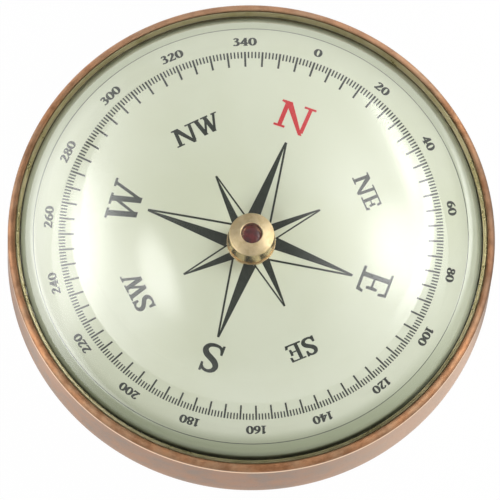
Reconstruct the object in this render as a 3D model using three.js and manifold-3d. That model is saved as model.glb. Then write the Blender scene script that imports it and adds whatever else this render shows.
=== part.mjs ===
// Brass desk compass with a floating card under a thick magnifying dome.
// Millimetres, +Z up. The origin is the centre of the felt pad's underside.
// The card and all that hangs on it turn together about the vertical pivot pin.
// The card only rests on the pin's tip, and it leans on it by a few degrees.

import * as THREE from 'three';
import { mergeVertices } from 'three/addons/utils/BufferGeometryUtils.js';
import Module from 'manifold-3d';

const wasm = await Module();
wasm.setup();

// Case, a turned brass cup
const caseRadius = 50;
const caseWall = 1.6;
const caseFloor = 1.8;
const rimRound = 1.2;
const rimInnerRound = 0.35;
const footRound = 1.4;
const rimStandsOverRing = 0.2;

// Felt pad, let into the underside of the case
const feltThickness = 1.2;
const feltRecess = 0.8;
const feltInset = 3.6;
const feltClearance = 0.3;

// Spacer ring, which stands on the case floor and carries the glass
const spacerHeight = 9.8;
const spacerWall = 2.74;

// Gasket between the spacer ring and the glass
const gasketThickness = 0.8;
const gasketInset = 0.3;

// Dome glass, a solid lens, flat below, with a thin flange round it
const flangeThickness = 1.7;
const flangeWidth = 0.84;
const shoulderHeight = 0.6;
const domeRise = 25.4;

// Ring that holds the glass down in the mouth of the case
const ringClearance = 0.1;
const ringLipHeight = 0.55;
const ringHeight = 1.15;
const ringTopWidth = 0.15;

// Clearance of turned pieces in the bore of the case
const boreClearance = 0.06;

// Compass card, which clears the spacer ring all round and has a rolled down edge
const cardToSpacer = 3.3;
const cardThickness = 0.5;
const cardEdgeRound = 1.2;
const cardBelowSeat = 4.5;

// How the card rests: its heading, its lean on the pin, and the dial mark that it leans down to
const cardHeading = 13.7;
const cardLean = 3;
const cardLeanBearing = -21;

// Hub on the card, with its washer, nut and jewel
const hubRadius = 3.8;
const hubEdgeHeight = 2.75;
const hubCrown = 0.6;
const hubEdgeRound = 0.25;
const hubEdgeTurn = 70;
const hubStemRadius = 2.5;
const hubBoreRadius = 1.2;
const hubWasherRadius = 4;
const hubWasherThickness = 0.3;
const hubNutAcrossFlats = 8;
const hubNutThickness = 1.2;
const stemClearance = 0.15;
const jewelRadius = 1.7;
const jewelHeight = 2.2;
const jewelCrown = 0.35;
const jewelCupRadius = 0.9;
const jewelCupDepth = 1.4;
const jewelClearance = 0.1;
const jewelBelowCrown = 0.45;

// Magnets and the brass bar that carries them under the card
const carrierWidth = 9;
const carrierThickness = 0.5;
const carrierOverhang = 1.5;
const magnetOffset = 18;
const magnetLength = 46;
const magnetWidth = 5;
const magnetThickness = 2;
const rivetRadius = 1;
const rivetHeadRadius = 1.8;
const rivetHeadHeight = 0.7;
const rivetClearance = 0.1;

// Weight under the south side of the card, against the pull of the magnets to the north
const weightInset = 9.3;
const weightArc = 16;
const weightWidth = 4;
const weightThickness = 1.2;

// Pivot pin, its post and the screw that holds the post to the floor.
// The pin's seat and the screw's reach are shares of the post's height.
const pinRadius = 0.6;
const pinTaper = 1.5;
const pinTipRadius = 0.05;
const pinTipClearance = 0.3;
const pinSeatShare = 0.42;
const pinClearance = 0.15;
const postRadius = 2.4;
const postToHub = 0.5;
const postTopChamfer = 0.6;
const postFlangeRadius = 5;
const postFlangeHeight = 1.2;
const screwRadius = 1.05;
const screwReachShare = 0.44;
const screwHeadRadius = 2.3;
const screwHeadHeight = 1.1;
const screwSlotWidth = 0.6;
const screwSlotDepth = 0.5;
const screwClearance = 0.15;

// Facets round a turn
const largeFacets = 72;
const smallFacets = 32;
const domeSteps = 11;
const roundSteps = 4;

// Heights, from the table up
const footHeight = feltThickness - feltRecess;
const floorUnderside = feltThickness;
const floorTop = floorUnderside + caseFloor;
const spacerTop = floorTop + spacerHeight;
const glassSeat = spacerTop + gasketThickness;
const flangeTop = glassSeat + flangeThickness;
const domeEdge = flangeTop + shoulderHeight;
const ringTop = flangeTop + ringHeight;
const rimTop = ringTop + rimStandsOverRing;
const cardTop = glassSeat - cardBelowSeat;
const cardUnderside = cardTop - cardThickness;
const carrierUnderside = cardUnderside - carrierThickness;
const hubNutUnderside = carrierUnderside - hubNutThickness;
const hubUnderside = cardTop + hubWasherThickness;
const hubCrownTop = hubUnderside + hubEdgeHeight + hubCrown;
const jewelTop = hubCrownTop - jewelBelowCrown;
const jewelUnderside = jewelTop - jewelHeight;
const pinTip = jewelUnderside + jewelCupDepth - pinTipClearance;
const postTop = hubNutUnderside - postToHub;
const pinLow = postTop - (postTop - floorTop) * pinSeatShare;
const screwTop = floorTop + (postTop - floorTop) * screwReachShare;

// Radii of what the case holds
const boreRadius = caseRadius - caseWall;
const fittedRadius = boreRadius - boreClearance;
const feltRadius = caseRadius - feltInset;
const domeRadius = fittedRadius - flangeWidth;
const spacerInner = fittedRadius - spacerWall;
const cardRadius = spacerInner - cardToSpacer;
const weightRadius = cardRadius - weightInset;
const stemHoleRadius = hubStemRadius + stemClearance;
const jewelHoleRadius = jewelRadius + jewelClearance;
const rivetHoleRadius = rivetRadius + rivetClearance;

// A solid turned about Z from an outline of [radius, height] points
function turned(outline, facets) {
  const points = outline.map(([radius, height]) => new THREE.Vector2(radius, height));
  return new THREE.LatheGeometry(points, facets).rotateX(Math.PI / 2);
}

// A ring, whose outline closes on itself
function turnedRing(outline, facets) {
  return turned([...outline, outline[0]], facets);
}

// A flat piece extruded upwards from a shape drawn in X and Y
function plate(shape, low, thickness) {
  const settings = { depth: thickness, bevelEnabled: false, curveSegments: smallFacets / 2 };
  return new THREE.ExtrudeGeometry(shape, settings).translate(0, 0, low);
}

// Points of a round corner, with both of its ends, at angles in degrees
function arcPoints(radius, height, round, from, to, steps) {
  const points = [];
  for (let step = 0; step <= steps; step += 1) {
    const angle = THREE.MathUtils.degToRad(from + (to - from) * step / steps);
    points.push([radius + round * Math.cos(angle), height + round * Math.sin(angle)]);
  }
  return points;
}

// Points of a dome's section from its edge to its top on the axis
function domePoints(edgeRadius, edgeHeight, rise, steps) {
  const sphereRadius = (edgeRadius ** 2 + rise ** 2) / (2 * rise);
  const centreHeight = edgeHeight + rise - sphereRadius;
  const edgeAngle = Math.asin((edgeHeight - centreHeight) / sphereRadius);
  const points = [];
  for (let step = 0; step < steps; step += 1) {
    const angle = edgeAngle + (Math.PI / 2 - edgeAngle) * step / steps;
    points.push([sphereRadius * Math.cos(angle), centreHeight + sphereRadius * Math.sin(angle)]);
  }
  points.push([0, edgeHeight + rise]);
  return points;
}

// A closed geometry as a solid for cutting
function asSolid(geometry) {
  const bare = geometry.clone();
  bare.deleteAttribute('normal');
  bare.deleteAttribute('uv');
  const merged = mergeVertices(bare, 1e-5);
  const mesh = new wasm.Mesh({
    numProp: 3,
    vertProperties: Float32Array.from(merged.attributes.position.array),
    triVerts: Uint32Array.from(merged.index.array),
  });
  mesh.merge();
  return new wasm.Manifold(mesh);
}

// One geometry less others
function cut(geometry, ...tools) {
  let solid = asSolid(geometry);
  for (const tool of tools) {
    solid = solid.subtract(asSolid(tool));
  }
  const mesh = solid.getMesh();
  const result = new THREE.BufferGeometry();
  const positions = [];
  for (const vertex of mesh.triVerts) {
    positions.push(...mesh.vertProperties.slice(vertex * mesh.numProp, vertex * mesh.numProp + 3));
  }
  result.setAttribute('position', new THREE.Float32BufferAttribute(positions, 3));
  result.computeVertexNormals();
  return result;
}

// A named piece with its material
function piece(name, geometry, color, roughness, metalness, more = {}) {
  const material = new THREE.MeshStandardMaterial({ color, roughness, metalness, ...more });
  const mesh = new THREE.Mesh(geometry, material);
  mesh.name = name;
  return mesh;
}

// The cup: floor, wall, rounded rim and a shallow recess for the felt
function caseGeometry() {
  const screwHole = screwRadius + screwClearance;
  const countersink = screwHeadRadius + screwClearance;
  return turnedRing([
    [screwHole, floorTop],
    [screwHole, floorUnderside + screwHeadHeight],
    [countersink, floorUnderside],
    [feltRadius + feltClearance, floorUnderside],
    [feltRadius + feltClearance, footHeight],
    ...arcPoints(caseRadius - footRound, footHeight + footRound, footRound, -90, 0, roundSteps),
    ...arcPoints(caseRadius - rimRound, rimTop - rimRound, rimRound, 0, 90, roundSteps),
    ...arcPoints(boreRadius + rimInnerRound, rimTop - rimInnerRound, rimInnerRound, 90, 180, roundSteps),
    [boreRadius, floorTop],
  ], largeFacets);
}

function feltGeometry() {
  return turned([[0, 0], [feltRadius, 0], [feltRadius, feltThickness], [0, feltThickness]], largeFacets);
}

function spacerGeometry() {
  return turnedRing([
    [spacerInner, floorTop],
    [fittedRadius, floorTop],
    [fittedRadius, spacerTop],
    [spacerInner, spacerTop],
  ], largeFacets);
}

function gasketGeometry() {
  return turnedRing([
    [spacerInner + gasketInset, spacerTop],
    [fittedRadius, spacerTop],
    [fittedRadius, glassSeat],
    [spacerInner + gasketInset, glassSeat],
  ], largeFacets);
}

// The lens: flat on the gasket, with a flange round it and a high dome above
function glassGeometry() {
  return turned([
    [0, glassSeat],
    [fittedRadius, glassSeat],
    [fittedRadius, flangeTop],
    [domeRadius, flangeTop],
    ...domePoints(domeRadius, domeEdge, domeRise, domeSteps),
  ], largeFacets);
}

// The ring sits on the flange, and its top slopes in towards the glass
function retainingRingGeometry() {
  const inner = domeRadius + ringClearance;
  return turnedRing([
    [inner, flangeTop],
    [fittedRadius, flangeTop],
    [fittedRadius, ringTop],
    [fittedRadius - ringTopWidth, ringTop],
    [inner, flangeTop + ringLipHeight],
  ], largeFacets);
}

// The post: a flange on the floor, a threaded hole below and the pin's seat above
function postGeometry() {
  const screwHole = screwRadius + screwClearance;
  const pinHole = pinRadius + pinClearance;
  return turned([
    [0, screwTop + screwClearance],
    [screwHole, screwTop + screwClearance],
    [screwHole, floorTop],
    [postFlangeRadius, floorTop],
    [postFlangeRadius, floorTop + postFlangeHeight],
    [postRadius, floorTop + postFlangeHeight],
    [postRadius, postTop - postTopChamfer],
    [postRadius - postTopChamfer, postTop],
    [pinHole, postTop],
    [pinHole, pinLow],
    [0, pinLow],
  ], smallFacets);
}

function pinGeometry() {
  return turned([
    [0, pinLow],
    [pinRadius, pinLow],
    [pinRadius, pinTip - pinTaper],
    [pinTipRadius, pinTip],
    [0, pinTip],
  ], smallFacets);
}

// A countersunk screw from below, with a slot in its head
function postScrewGeometry() {
  const body = turned([
    [0, floorUnderside],
    [screwHeadRadius, floorUnderside],
    [screwRadius, floorUnderside + screwHeadHeight],
    [screwRadius, screwTop],
    [0, screwTop],
  ], smallFacets);
  const slot = new THREE.BoxGeometry(3 * screwHeadRadius, screwSlotWidth, 2 * screwSlotDepth);
  return cut(body, slot.translate(0, 0, floorUnderside));
}

// A thin pressed disc, whose edge is rolled down by a quarter turn
function cardGeometry() {
  const bend = cardRadius - cardEdgeRound;
  const bendHeight = cardTop - cardEdgeRound;
  const innerRound = cardEdgeRound - cardThickness;
  return turnedRing([
    [stemHoleRadius, cardUnderside],
    ...arcPoints(bend, bendHeight, innerRound, 90, 0, roundSteps),
    ...arcPoints(bend, bendHeight, cardEdgeRound, 0, 90, roundSteps),
    [stemHoleRadius, cardTop],
  ], largeFacets);
}

function hubWasherGeometry() {
  return turnedRing([
    [stemHoleRadius, cardTop],
    [hubWasherRadius, cardTop],
    [hubWasherRadius, hubUnderside],
    [stemHoleRadius, hubUnderside],
  ], smallFacets);
}

// The cap on top of the card and its stem, which passes down through the card to the nut
function hubCapGeometry() {
  const edge = hubUnderside + hubEdgeHeight;
  return turnedRing([
    [hubBoreRadius, hubNutUnderside],
    [hubStemRadius, hubNutUnderside],
    [hubStemRadius, hubUnderside],
    [hubRadius, hubUnderside],
    ...arcPoints(hubRadius - hubEdgeRound, edge - hubEdgeRound, hubEdgeRound, 0, hubEdgeTurn, roundSteps),
    [jewelHoleRadius, hubCrownTop],
    [jewelHoleRadius, jewelUnderside],
    [hubBoreRadius, jewelUnderside],
  ], smallFacets);
}

// The jewel: a crowned ruby plug with a cone in its underside for the pin
function jewelGeometry() {
  return turned([
    [0, jewelUnderside + jewelCupDepth],
    [jewelCupRadius, jewelUnderside],
    [jewelRadius, jewelUnderside],
    ...domePoints(jewelRadius, jewelTop - jewelCrown, jewelCrown, roundSteps),
  ], smallFacets);
}

// A round hole in a flat shape
function roundHole(x, y, radius) {
  return new THREE.Path().absarc(x, y, radius, 0, 2 * Math.PI, true);
}

function hubNutGeometry() {
  const shape = new THREE.Shape();
  const cornerRadius = hubNutAcrossFlats / Math.sqrt(3);
  for (let corner = 0; corner < 6; corner += 1) {
    const angle = corner * Math.PI / 3;
    const method = corner === 0 ? 'moveTo' : 'lineTo';
    shape[method](cornerRadius * Math.cos(angle), cornerRadius * Math.sin(angle));
  }
  shape.closePath();
  shape.holes.push(roundHole(0, 0, stemHoleRadius));
  return plate(shape, hubNutUnderside, hubNutThickness);
}

// A rectangle with its middle at x
function rectangle(x, width, length) {
  return new THREE.Shape([
    new THREE.Vector2(x - width / 2, -length / 2),
    new THREE.Vector2(x + width / 2, -length / 2),
    new THREE.Vector2(x + width / 2, length / 2),
    new THREE.Vector2(x - width / 2, length / 2),
  ]);
}

function carrierGeometry() {
  const width = 2 * magnetOffset + magnetWidth + 2 * carrierOverhang;
  const shape = rectangle(0, width, carrierWidth);
  shape.holes.push(roundHole(0, 0, stemHoleRadius));
  shape.holes.push(roundHole(-magnetOffset, 0, rivetHoleRadius));
  shape.holes.push(roundHole(magnetOffset, 0, rivetHoleRadius));
  return plate(shape, carrierUnderside, carrierThickness);
}

function magnetGeometry(side) {
  const shape = rectangle(side * magnetOffset, magnetWidth, magnetLength);
  shape.holes.push(roundHole(side * magnetOffset, 0, rivetHoleRadius));
  return plate(shape, carrierUnderside - magnetThickness, magnetThickness);
}

function rivetGeometry(side) {
  const headTop = carrierUnderside - magnetThickness;
  const geometry = turned([
    [0, headTop - rivetHeadHeight],
    [rivetHeadRadius, headTop - rivetHeadHeight],
    [rivetHeadRadius, headTop],
    [rivetRadius, headTop],
    [rivetRadius, cardUnderside],
    [0, cardUnderside],
  ], smallFacets);
  return geometry.translate(side * magnetOffset, 0, 0);
}

// A short curved bar that follows the edge of the card
function weightGeometry() {
  const middle = -Math.PI / 2;
  const half = THREE.MathUtils.degToRad(weightArc / 2);
  const shape = new THREE.Shape();
  shape.absarc(0, 0, weightRadius + weightWidth / 2, middle - half, middle + half, false);
  shape.absarc(0, 0, weightRadius - weightWidth / 2, middle + half, middle - half, true);
  return plate(shape, cardUnderside - weightThickness, weightThickness);
}

const compass = new THREE.Group();

// Pieces that stay still
compass.add(
  piece('felt_pad', feltGeometry(), 0x24452f, 0.95, 0),
  piece('case_body', caseGeometry(), 0x96705a, 0.38, 1),
  piece('spacer_ring', spacerGeometry(), 0x8f9a72, 0.45, 1),
  piece('glass_gasket', gasketGeometry(), 0x16180f, 0.85, 0),
  piece('dome_glass', glassGeometry(), 0xf4f8f0, 0.03, 0, { transparent: true, opacity: 0.3 }),
  piece('glass_retaining_ring', retainingRingGeometry(), 0x9c9870, 0.35, 1),
  piece('pivot_post', postGeometry(), 0xc2a56b, 0.35, 1),
  piece('pivot_pin', pinGeometry(), 0xb9bcc0, 0.25, 1),
  piece('post_screw', postScrewGeometry(), 0xb39a63, 0.4, 1),
);

// Pieces that turn with the card, drawn level with north along +Y
const card = new THREE.Group();
card.position.z = -pinTip;
card.add(
  piece('compass_card', cardGeometry(), 0xd5d9bd, 0.5, 0),
  piece('hub_washer', hubWasherGeometry(), 0xcdb27c, 0.3, 1),
  piece('hub_cap', hubCapGeometry(), 0xc8af7d, 0.25, 1),
  piece('jewel_cup', jewelGeometry(), 0x6e1c22, 0.12, 0),
  piece('hub_nut', hubNutGeometry(), 0xc0a468, 0.35, 1),
  piece('magnet_carrier', carrierGeometry(), 0xc6ab70, 0.4, 1),
  piece('magnet_west', magnetGeometry(-1), 0x55585c, 0.4, 1),
  piece('magnet_east', magnetGeometry(1), 0x55585c, 0.4, 1),
  piece('magnet_rivet_west', rivetGeometry(-1), 0xc2a76c, 0.35, 1),
  piece('magnet_rivet_east', rivetGeometry(1), 0xc2a76c, 0.35, 1),
  piece('balance_weight', weightGeometry(), 0xb89a5c, 0.45, 1),
);

// The lean about the pin's tip, then the heading
const leanTowards = THREE.MathUtils.degToRad(cardLeanBearing);
const leanAxis = new THREE.Vector3(-Math.cos(leanTowards), Math.sin(leanTowards), 0);
const leaning = new THREE.Group();
leaning.position.z = pinTip;
leaning.quaternion.setFromAxisAngle(leanAxis, THREE.MathUtils.degToRad(cardLean));
leaning.add(card);
const heading = new THREE.Group();
heading.rotation.z = -THREE.MathUtils.degToRad(cardHeading);
heading.add(leaning);
compass.add(heading);

export default compass;
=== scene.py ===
"""A brass desk compass with a floating card under a thick magnifying dome.

The turned pieces are built again with smooth sections from the same sizes as the CAD solids.
The dial is printed on the card as thin layers of ink. Metres, +Z up. The card and all on it is
built level with its north along +Y, and then leans on the pin and turns to its heading.
"""

import math

import bmesh
import bpy
import mathutils
from mathutils import Matrix, Vector


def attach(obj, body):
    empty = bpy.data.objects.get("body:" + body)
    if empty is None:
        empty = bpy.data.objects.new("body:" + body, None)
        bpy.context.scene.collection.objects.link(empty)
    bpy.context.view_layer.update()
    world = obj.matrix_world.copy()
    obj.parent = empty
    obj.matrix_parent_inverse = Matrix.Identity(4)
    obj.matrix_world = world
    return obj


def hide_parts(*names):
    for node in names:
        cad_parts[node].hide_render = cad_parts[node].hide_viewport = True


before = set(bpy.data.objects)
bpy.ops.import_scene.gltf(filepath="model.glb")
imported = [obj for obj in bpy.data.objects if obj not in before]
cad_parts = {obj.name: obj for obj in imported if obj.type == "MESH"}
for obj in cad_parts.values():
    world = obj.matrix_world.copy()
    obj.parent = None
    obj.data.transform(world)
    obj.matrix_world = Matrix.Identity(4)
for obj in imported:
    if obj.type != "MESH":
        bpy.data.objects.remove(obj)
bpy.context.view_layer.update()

MM = 0.001

# Case, in millimetres as all sizes below
CASE_RADIUS = 50
CASE_WALL = 1.6
RIM_ROUND = 1.2
RIM_INNER_ROUND = 0.35
FOOT_ROUND = 1.4
FOOT_HEIGHT = 0.4
FLOOR_UNDERSIDE = 1.2
FLOOR_TOP = 3.0
RIM_TOP = 16.65
BORE_RADIUS = CASE_RADIUS - CASE_WALL
SCREW_HOLE = 1.2
COUNTERSINK = 2.45
COUNTERSINK_TOP = 2.3

# Felt pad
FELT_RADIUS = 46.4
FELT_TOP = 1.2
FELT_CLEARANCE = 0.3
FELT_EDGE_ROUND = 0.3

# Spacer ring, gasket, glass and retaining ring
FITTED_RADIUS = 48.34
SPACER_INNER = 45.6
SPACER_TOP = 12.8
SPACER_EDGE_ROUND = 0.1
GASKET_INNER = 45.9
GLASS_SEAT = 13.6
FLANGE_TOP = 15.3
DOME_RADIUS = 47.5
DOME_EDGE = 15.9
DOME_RISE = 25.4
RING_INNER = 47.6
RING_LIP = 15.85
RING_TOP = 16.45
RING_TOP_WIDTH = 0.15
RING_GROOVE = 0.07
RING_GROOVE_SHARES = (0.66, 0.3)
FACE_GAP = 0.02

# Card, with the place of the pin's tip that it leans on, angles in degrees
CARD_RADIUS = 42.3
CARD_EDGE_ROUND = 1.2
CARD_HOLE = 2.65
CARD_UNDERSIDE = 8.6
CARD_TOP = 9.1
CARD_HEADING = 13.7
CARD_LEAN = 3
CARD_LEAN_BEARING = -21
PIN_TIP = 11.2

# Hub, washer and jewel
HUB_RADIUS = 3.8
HUB_STEM = 2.5
HUB_BORE = 1.2
HUB_UNDERSIDE = 9.4
HUB_EDGE = 12.15
HUB_CROWN = 12.75
HUB_EDGE_ROUND = 0.25
HUB_EDGE_TURN = 66
HUB_FOOT_CHAMFER = 0.1
HUB_NUT_UNDERSIDE = 6.9
HUB_SATIN_FROM = HUB_EDGE - 0.35
HUB_SATIN_STEP = 0.2
WASHER_RADIUS = 4
WASHER_EDGE_ROUND = 0.08
JEWEL_HOLE = 1.8
JEWEL_HOLE_ROUND = 0.12
JEWEL_RADIUS = 1.7
JEWEL_UNDERSIDE = 10.1
JEWEL_EDGE = 11.95
JEWEL_CROWN = 0.35
JEWEL_CUP_RADIUS = 0.9
JEWEL_CUP_DEPTH = 1.4

# Dial, printed on the card. A tick has its inner end, outer end and width.
INK_HEIGHT = 0.02
SHORT_TICK = (32.13, 33.49, 0.25)
LONG_TICK = (30.4, 33.49, 0.32)
LONG_TICK_STEP = 5
LINE_RADIUS = 39.2
LINE_WIDTH = 0.14
NUMERAL_RADIUS = 35.82
NUMERAL_HEIGHT = 1.9
NUMERAL_STEP = 20
MAIN_LETTER_RADIUS = {"N": 22.4, "E": 21.94, "S": 21.94, "W": 21.94}
MAIN_LETTER_HEIGHT = {"N": 4.75, "E": 5.65, "S": 5.5, "W": 5.45}
MAIN_LETTER_TURN = {"N": 0, "E": 0, "S": 0, "W": 0.5}
MINOR_LETTER_RADIUS = 20.98
MINOR_LETTER_HEIGHT = {"NE": 2.9, "SE": 3.4, "SW": 3.45, "NW": 3.1}
MINOR_LETTER_TURN = {"NE": 1.25, "SE": 2.1, "SW": 2.1, "NW": 2}
SMALL_PRINT_SPREAD = 2

# Round strokes of the print: their knots, and how suddenly they swell at the sides
BOWL_KNOTS = 12
BOWL_CONTRAST = 1.5

# Points of the rose: reach, slope of the sides, width of the line and half the blunt tip's width
MAIN_POINT = (17.75, 0.135, 0.34, 0.2)
MINOR_POINT = (12.45, 0.14, 0.26, 0.16)
POINT_FOOT = 3.7

# Camera, fitted to the photograph, its angles in radians and its clips in metres
CAMERA_TARGET_HEIGHT = 15.6
CAMERA_DISTANCE = 2000
CAMERA_TILT = 0.293
CAMERA_ROLL = -0.085
PIXELS = 500
TARGET_PIXEL = (251.45, 237.1)
FOCAL_PIXELS = 9750
SENSOR = 36
CLIP_NEAR = 0.05
CLIP_FAR = 100

# Floor in metres, and the part of what is seen of it that is plain white light
FLOOR_HALF = 4
FLOOR_WHITE = 0.985

# The studio's fill light on matt surfaces, and how far it darkens between two heights of the view
FILL_LIGHT = 0.2
ZENITH_SHADE = 0.3
SHADE_START = 0.25
SHADE_FULL = 0.8

# Soft windows: azimuth, elevation, half width, half height in degrees, its full part, strength
WINDOWS = {
    "left": (179, 6, 38, 33, 0.3, 6.0),
    "small": (200, 49, 24, 10, 0.3, 4.5),
    "small halo": (201, 43, 34, 26, 0.1, 2.2),
    "right": (9, 25, 24, 22, 0.2, 5.0),
    "right halo": (14, 39, 66, 39, 0, 5.2),
    "right strip": (27, 8, 46, 17, 0, 3.8),
}

# The left window's pool of light on the floor, which sets in between two distances in metres
POOL_PATCH = (179, 0, 58, 89, 0.3)
POOL_START = 0.05
POOL_FULL = 0.16
POOL_STRENGTH = 4.2

# Lamps: azimuth and elevation in degrees, distance and size in metres, power
LAMPS = {
    "front": (-108, 31, 0.9, 0.45, 5.2),
    "side": (34, 42, 0.15, 0.1, 0.152),
    "left": (182, 35, 0.11, 0.04, 0.018),
}

# Where colours of the case change, each from one place to another along X, Y, Z or the radius
# The far rim's span is painted light, paler there
FAR_RIM_LIGHT_Y = (24, 44)
RIM_INSIDE = (48.35, 48.95)
RIM_OUTSIDE = (48.6, 49.4)
# The pale wall and foot spans are painted light
PAINTED_LIGHT_WALL_X = (5, 40)
PAINTED_LIGHT_FOOT_Z = (0.3, 4.5)
WALL_TO_RIM_Z = (RIM_TOP - 2.15, RIM_TOP - 1.45)
# The edge between rim and wall carries a painted highlight
HIGHLIGHT_FROM_Z = (RIM_TOP - 2.25, RIM_TOP - 1.7)
HIGHLIGHT_TO_Z = (RIM_TOP - 1.6, RIM_TOP - 1.05)
# Spans where the case is darker at its left and at its near right
LEFT_DARKER_X = (-49, -40)
RIGHT_DARKER_X = (40, 49)
RIGHT_DARKER_Y = (-22, -6)

# Where colours of the card change, likewise
MARGIN_FROM = (LINE_RADIUS - 0.05, LINE_RADIUS + 0.1)
# Painted shade towards the card's edge, and a painted black shadow of the gap on its rolled edge
CARD_SHADE = (CARD_RADIUS - CARD_EDGE_ROUND - 5, CARD_RADIUS - CARD_EDGE_ROUND - 1.4)
CARD_GAP_SHADOW = (CARD_RADIUS - CARD_EDGE_ROUND + 0.68, CARD_RADIUS - CARD_EDGE_ROUND + 1.02)
NEAR_SIDE_Y = (-38, -8)

# Depth of the bumps in metres
FINE_BUMP = 0.00001
TURNED_BUMP = 0.00003
COARSE_BUMP = 0.00004
FELT_BUMP = 0.00035

# Glass, a little green, and ruby
GLASS_TINT = (0.99, 1.0, 0.985, 1)
GLASS_INDEX = 1.52
RUBY_INDEX = 1.76

# Smoothness of what is built, and the distance at which corners of the print become one
TURN_STEPS = 288
SMALL_TURN_STEPS = 96
DOME_STEPS = 60
JEWEL_DOME_STEPS = 12
SHARP_ANGLE = math.radians(32)
MERGE_DISTANCE = 1e-5


# Small helpers for meshes

def linear(red, green, blue):
    """A colour seen on a screen, 0 to 255, as the linear colour that shaders take."""
    values = []
    for value in (red, green, blue):
        share = value / 255
        low = share / 12.92
        high = ((share + 0.055) / 1.055) ** 2.4
        values.append(low if share <= 0.04045 else high)
    return (*values, 1)


def arc(radius, height, rounding, start, end, steps):
    """Points of a round corner in a section, angles in degrees."""
    points = []
    for step in range(steps + 1):
        angle = math.radians(start + (end - start) * step / steps)
        points.append((radius + rounding * math.cos(angle), height + rounding * math.sin(angle)))
    return points


def dome(edge_radius, edge_height, rise, steps):
    """Points of a dome's section from its edge to the axis."""
    sphere = (edge_radius ** 2 + rise ** 2) / (2 * rise)
    centre = edge_height + rise - sphere
    edge_angle = math.asin((edge_height - centre) / sphere)
    points = []
    for step in range(steps):
        angle = edge_angle + (math.pi / 2 - edge_angle) * step / steps
        points.append((sphere * math.cos(angle), centre + sphere * math.sin(angle)))
    points.append((0, edge_height + rise))
    return points


def card_rest():
    """The matrix that leans the level card on the pin's tip and turns it to its heading."""
    bearing = math.radians(CARD_LEAN_BEARING)
    axis = Vector((-math.cos(bearing), math.sin(bearing), 0))
    lean = Matrix.Rotation(math.radians(CARD_LEAN), 4, axis)
    tip = Vector((0, 0, PIN_TIP * MM))
    heading = Matrix.Rotation(-math.radians(CARD_HEADING), 4, "Z")
    return heading @ Matrix.Translation(tip) @ lean @ Matrix.Translation(-tip)


def finished(name, mesh, body, look):
    """An object of the mesh, smooth but for its sharp edges, riding on its body."""
    mesh.materials.append(look)
    mesh.shade_smooth()
    mesh.set_sharp_from_angle(angle=SHARP_ANGLE)
    made = bpy.data.objects.new(name, mesh)
    bpy.context.scene.collection.objects.link(made)
    if body == "card":
        made.matrix_world = card_rest()
    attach(made, body)
    return made


def from_bmesh(name, build):
    """A clean mesh with its faces turned outwards."""
    bmesh.ops.recalc_face_normals(build, faces=build.faces)
    mesh = bpy.data.meshes.new(name)
    build.to_mesh(mesh)
    build.free()
    return mesh


def turned(name, outline, body, look, steps=TURN_STEPS):
    """A solid turned about Z from a closed section of (radius, height) points."""
    build = bmesh.new()
    rings = []
    for radius, height in outline:
        if radius == 0:
            rings.append([build.verts.new((0, 0, height * MM))])
            continue
        ring = []
        for step in range(steps):
            angle = 2 * math.pi * step / steps
            corner = (radius * math.cos(angle) * MM, radius * math.sin(angle) * MM, height * MM)
            ring.append(build.verts.new(corner))
        rings.append(ring)
    for ring, other in zip(rings, rings[1:] + rings[:1]):
        join_rings(build, ring, other, steps)
    return finished(name, from_bmesh(name, build), body, look)


def join_rings(build, ring, other, steps):
    """Faces between two rings of a turned solid, of which one may be a point on the axis."""
    if len(ring) == 1 and len(other) == 1:
        return
    for step in range(steps):
        following = (step + 1) % steps
        corners = [ring[step % len(ring)], other[step % len(other)]]
        if len(other) > 1:
            corners.append(other[following])
        if len(ring) > 1:
            corners.append(ring[following])
        build.faces.new(corners)


# Small helpers for shaders

def put(tree, kind, inputs=None, **settings):
    """A new node with its settings made and its inputs set to values or linked."""
    made = tree.nodes.new(kind)
    for setting, value in settings.items():
        setattr(made, setting, value)
    for name, value in (inputs or {}).items():
        if isinstance(value, bpy.types.NodeSocket):
            tree.links.new(value, made.inputs[name])
        else:
            made.inputs[name].default_value = value
    return made


def calc(tree, operation, *values):
    """The result of a Math node."""
    return put(tree, "ShaderNodeMath", dict(enumerate(values)), operation=operation).outputs[0]


def blend(tree, share, low, high):
    """A colour between two, by a share from 0 to 1."""
    made = put(tree, "ShaderNodeMix", data_type="RGBA")
    for socket, value in ((made.inputs[0], share), (made.inputs[6], low), (made.inputs[7], high)):
        if isinstance(value, bpy.types.NodeSocket):
            tree.links.new(value, socket)
        else:
            socket.default_value = value
    return made.outputs[2]


def between(tree, value, low, high, start=0, end=1):
    """Value mapped smoothly from low and high to start and end."""
    inputs = {"Value": value, "From Min": low, "From Max": high, "To Min": start, "To Max": end}
    return put(tree, "ShaderNodeMapRange", inputs, interpolation_type="SMOOTHSTEP").outputs[0]


def across(tree, value, span, start=0, end=1):
    """Value mapped smoothly over a span in millimetres."""
    low, high = span
    return between(tree, value, low * MM, high * MM, start, end)


def noise(tree, vector, scale, detail, roughness):
    """Noise from 0 to 1 at a scale in cells per unit of the vector."""
    inputs = {"Vector": vector, "Scale": scale, "Detail": detail, "Roughness": roughness}
    return put(tree, "ShaderNodeTexNoise", inputs).outputs[0]


def material(name):
    """A new material, its node tree and its shader."""
    made = bpy.data.materials.new(name)
    made.use_nodes = True
    return made, made.node_tree, made.node_tree.nodes["Principled BSDF"]


def coordinates(tree):
    """Object coordinates, in metres."""
    return put(tree, "ShaderNodeTexCoord").outputs["Object"]


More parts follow.
